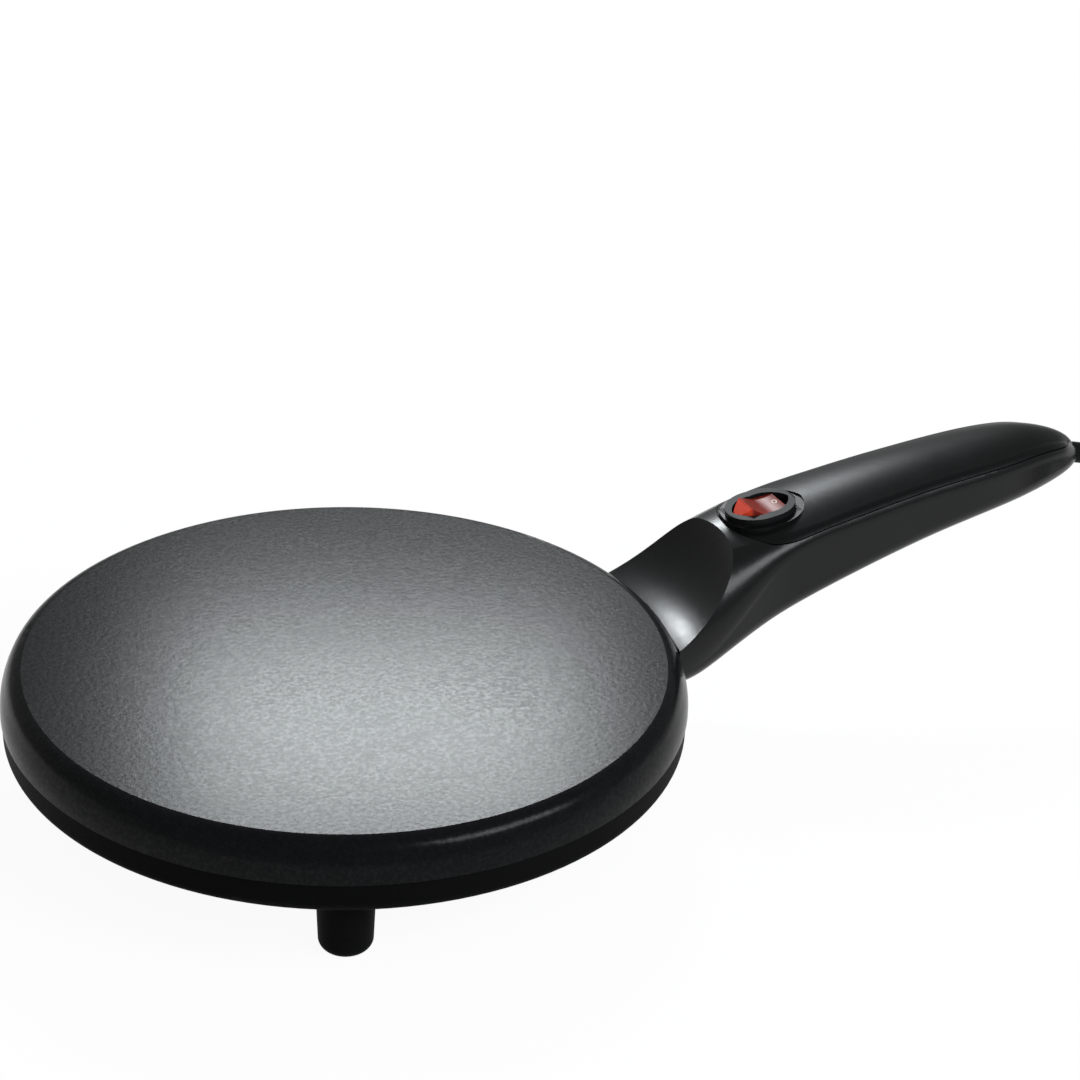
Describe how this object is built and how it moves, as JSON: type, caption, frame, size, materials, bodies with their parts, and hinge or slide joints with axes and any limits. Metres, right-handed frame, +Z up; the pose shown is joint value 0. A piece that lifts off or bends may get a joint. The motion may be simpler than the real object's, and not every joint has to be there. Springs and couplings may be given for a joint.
{
  "type": "electric crepe maker",
  "caption": "Hand-held dip-type electric crepe maker with a round domed plate, shallow base on short feet, and a long curved handle with a lit rocker switch and cord.",
  "frame": {"origin": "middle of the appliance's bounding box without its cord, on the table that its feet stand on", "axes": "+X along the handle from the plate to the cord end, +Z up from the table, +Y to the left of the handle seen from the plate"},
  "size_m": [0.5436, 0.204, 0.0718],
  "materials": {
    "nonstick_coating": "cast aluminium with a speckled satin non-stick coating",
    "base_plastic": "fine satin moulding",
    "foot_plastic": "satin",
    "gloss_black": "high gloss",
    "switch_black": "semi gloss",
    "rocker_red": "translucent",
    "steel": "zinc plated",
    "element_steel": "dull",
    "aluminium": "plain sheet",
    "ceramic_white": "unglazed",
    "contact_brass": "plain",
    "lamp_glass": "clear",
    "clamp_plastic": "plain",
    "cord_black": "satin sheath",
    "wire_sleeve": "silicone glass sleeve"
  },
  "bodies": {
    "appliance": {"base_screws": "steel", "base_shell": "base_plastic", "bracket_screws": "steel", "clamp_screws": "steel", "cooking_plate": "nonstick_coating", "cord_clamp": "clamp_plastic", "cord_coil": "cord_black", "cord_tail": "cord_black", "element_pins": "element_steel", "element_seal_left": "ceramic_white", "element_seal_right": "ceramic_white", "element_strap_1": "steel", "element_strap_2": "steel", "element_strap_3": "steel", "foot_front": "foot_plastic", "foot_left": "foot_plastic", "foot_right": "foot_plastic", "fuse_clip": "steel", "fuse_screw": "steel", "handle_body": "base_plastic", "handle_bottom_cover": "base_plastic", "handle_screws": "steel", "heat_shield": "aluminium", "heating_element": "element_steel", "mains_plug": "cord_black", "neck_screws": "steel", "plug_blades": "contact_brass", "power_cord": "cord_black", "strain_relief": "cord_black", "strap_screws": "steel", "switch_housing": "switch_black", "switch_terminals": "contact_brass", "thermal_fuse": "element_steel", "thermostat_body": "ceramic_white", "thermostat_bracket": "steel", "thermostat_cap": "aluminium", "thermostat_terminals": "contact_brass", "top_cover": "gloss_black", "wire_cord_to_fuse": "wire_sleeve", "wire_cord_to_switch": "wire_sleeve", "wire_fuse_to_element": "wire_sleeve", "wire_switch_to_thermostat": "wire_sleeve", "wire_thermostat_to_element": "wire_sleeve"},
    "rocker": {"switch_rocker": "rocker_red", "switch_plunger": "steel", "switch_spring": "steel", "neon_lamp": "lamp_glass"},
    "contact": {"switch_contact_arm": "contact_brass"}
  },
  "joints": [
    {"name": "rocker_tilt", "type": "hinge", "parent": "appliance", "child": "rocker", "pos_m": [0.062, 0, 0.0612], "axis": [0, -1, 0], "range_deg": [0, 22]},
    {"name": "contact_tilt", "type": "hinge", "parent": "appliance", "child": "contact", "pos_m": [0.06283, 0, 0.05334], "axis": [0, 1, 0], "range_deg": [0, 16]}
  ],
  "couplings": [
    {"joint": "contact_tilt", "follows": "rocker_tilt", "ratio": 0.72727}
  ]
}
